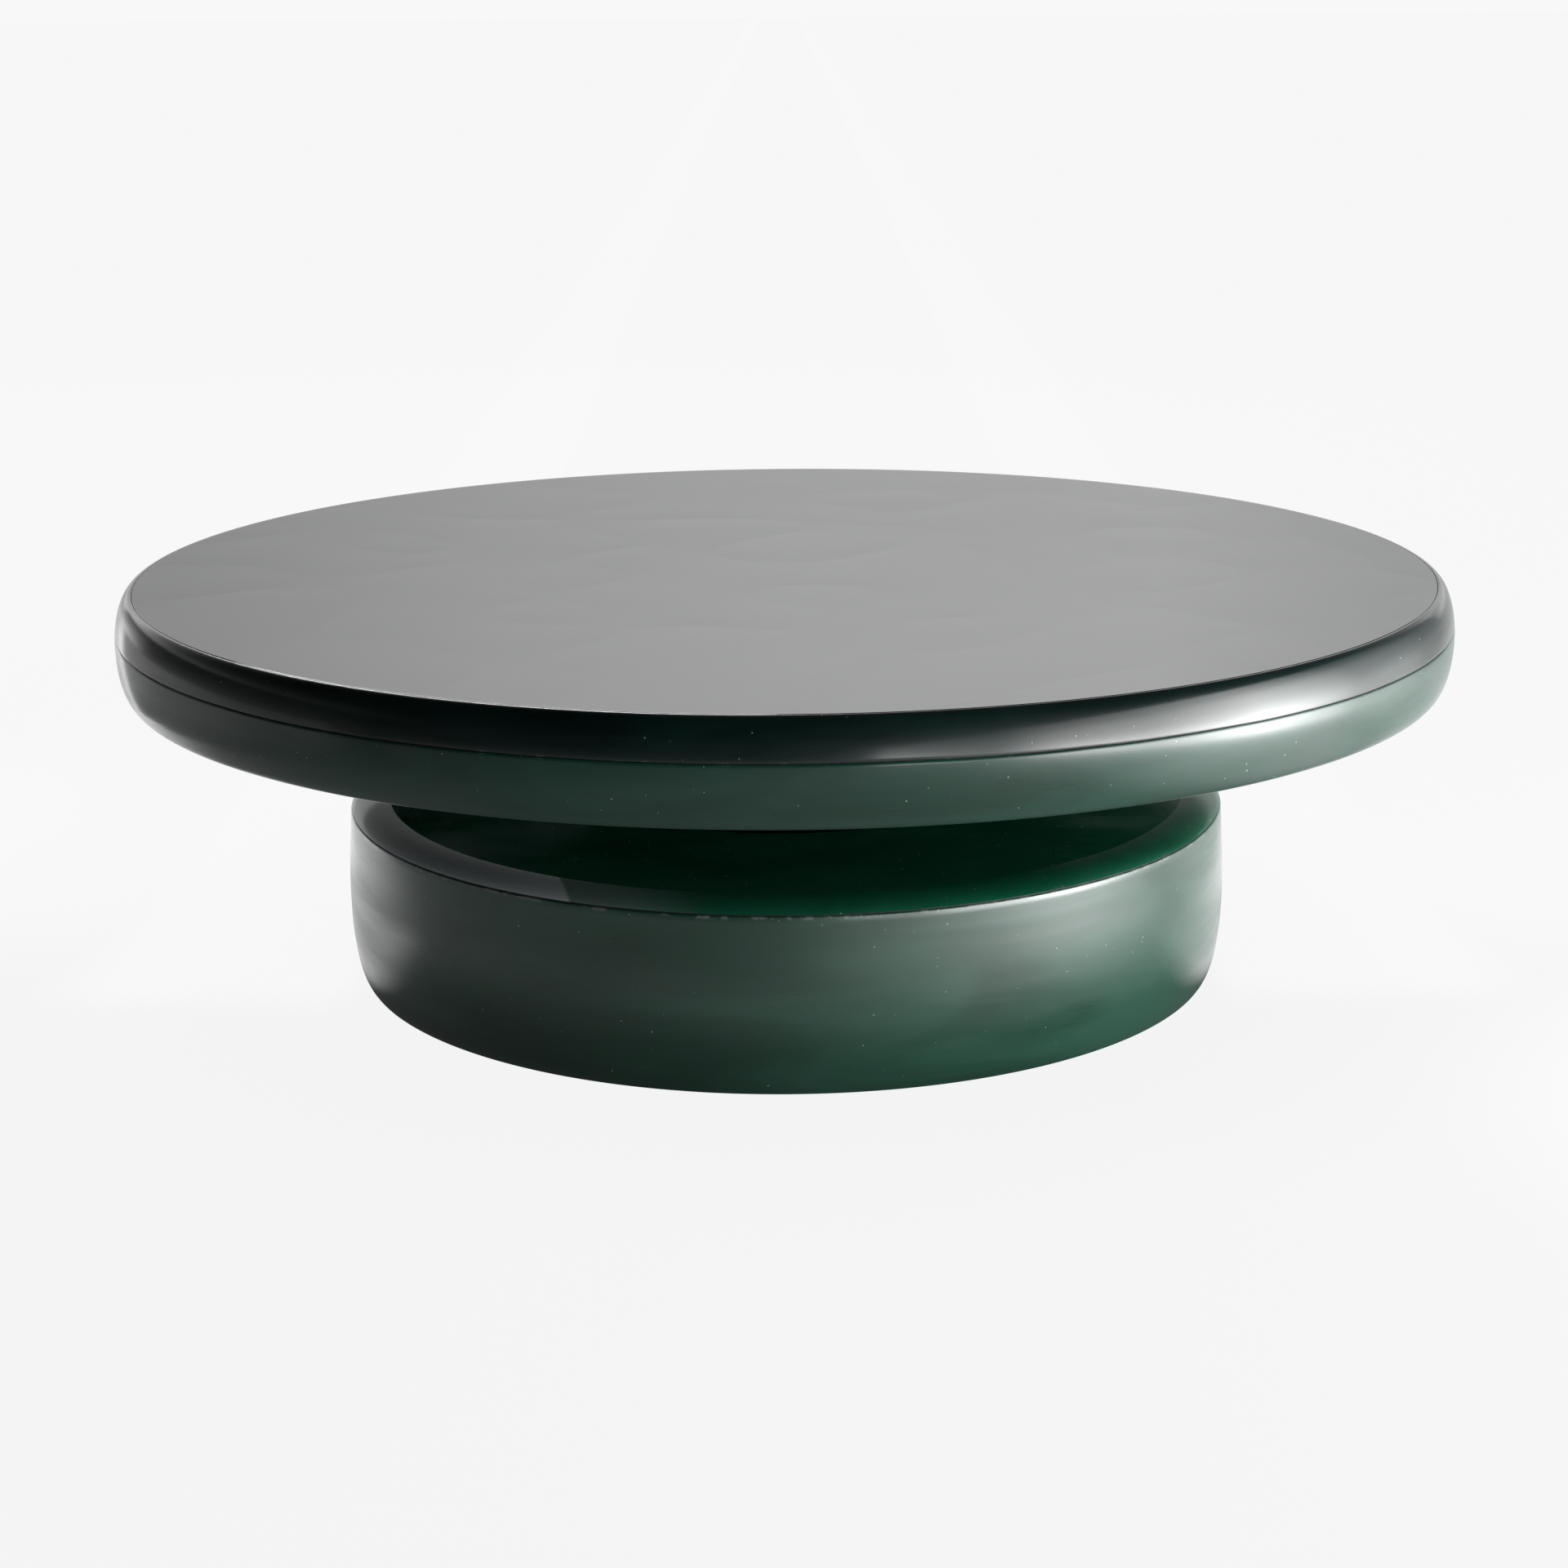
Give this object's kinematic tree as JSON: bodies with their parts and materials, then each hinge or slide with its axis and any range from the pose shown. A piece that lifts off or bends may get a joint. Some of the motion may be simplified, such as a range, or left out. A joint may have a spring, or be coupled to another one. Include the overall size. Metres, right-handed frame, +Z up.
{
  "type": "coffee table",
  "caption": "Low round coffee table: thick top with a bull-nosed rim on a set-back neck and a wide drum base with levelling feet, glossy dark green.",
  "frame": {"origin": "centre of the footprint, on the floor under the feet", "axes": "+Z up along the table's axis; the table is round, so X and Y are free, and the feet stand at 45 degrees between them"},
  "size_m": [0.9999, 1, 0.308],
  "materials": {
    "top_disc": "polished tinted resin, high gloss",
    "rim": "polished tinted resin, high gloss",
    "cap": "polished tinted resin, high gloss",
    "wall": "polished tinted resin with faint streaks, high gloss",
    "bead": "dark joint filler, matte",
    "panel": "raw birch plywood",
    "dark_panel": "plywood, black stained outside",
    "sleeve": "satin black",
    "steel": "zinc plated",
    "brass": "plain turned",
    "plate": "satin black",
    "cover": "fine matte grain",
    "pad": "moulded nylon"
  },
  "bodies": {
    "table": {"top_disc": "top_disc", "rim_upper": "rim", "rim_lower": "rim", "rim_seam_bead": "bead", "rim_tongue": "panel", "core_panel": "panel", "under_panel": "dark_panel", "hub_block": "panel", "top_ribs": "panel", "hub_inserts": "brass", "neck_block": "panel", "neck_sleeve": "sleeve", "through_bolts": "steel", "bolt_washers": "steel", "base_cap": "cap", "base_seam_bead": "bead", "base_wall": "wall", "base_panel": "panel", "floor_panel": "dark_panel", "base_ribs": "panel", "foot_ring": "plate", "ring_screws": "steel", "access_cover": "cover", "cover_screws": "steel", "foot_inserts": "brass"},
    "foot_pad_1": {"foot_pad_1": "pad"},
    "foot_stem_1": {"foot_stem_1": "steel"},
    "foot_pad_2": {"foot_pad_2": "pad"},
    "foot_stem_2": {"foot_stem_2": "steel"},
    "foot_pad_3": {"foot_pad_3": "pad"},
    "foot_stem_3": {"foot_stem_3": "steel"},
    "foot_pad_4": {"foot_pad_4": "pad"},
    "foot_stem_4": {"foot_stem_4": "steel"}
  },
  "joints": [
    {"name": "foot_height_1", "type": "slide", "parent": "table", "child": "foot_pad_1", "axis": [0, 0, -1], "range_m": [0, 0.01]},
    {"name": "foot_turn_1", "type": "hinge", "parent": "foot_pad_1", "child": "foot_stem_1", "pos_m": [0.18951, 0.18951, 0.005], "axis": [0, 0, -1], "range_deg": [0, 2880]},
    {"name": "foot_height_2", "type": "slide", "parent": "table", "child": "foot_pad_2", "axis": [0, 0, -1], "range_m": [0, 0.01]},
    {"name": "foot_turn_2", "type": "hinge", "parent": "foot_pad_2", "child": "foot_stem_2", "pos_m": [-0.18951, 0.18951, 0.005], "axis": [0, 0, -1], "range_deg": [0, 2880]},
    {"name": "foot_height_3", "type": "slide", "parent": "table", "child": "foot_pad_3", "axis": [0, 0, -1], "range_m": [0, 0.01]},
    {"name": "foot_turn_3", "type": "hinge", "parent": "foot_pad_3", "child": "foot_stem_3", "pos_m": [-0.18951, -0.18951, 0.005], "axis": [0, 0, -1], "range_deg": [0, 2880]},
    {"name": "foot_height_4", "type": "slide", "parent": "table", "child": "foot_pad_4", "axis": [0, 0, -1], "range_m": [0, 0.01]},
    {"name": "foot_turn_4", "type": "hinge", "parent": "foot_pad_4", "child": "foot_stem_4", "pos_m": [0.18951, -0.18951, 0.005], "axis": [0, 0, -1], "range_deg": [0, 2880]}
  ],
  "couplings": [
    {"joint": "foot_turn_1", "follows": "foot_height_1", "rad_per_m": 5026.5},
    {"joint": "foot_turn_2", "follows": "foot_height_2", "rad_per_m": 5026.5},
    {"joint": "foot_turn_3", "follows": "foot_height_3", "rad_per_m": 5026.5},
    {"joint": "foot_turn_4", "follows": "foot_height_4", "rad_per_m": 5026.5}
  ]
}
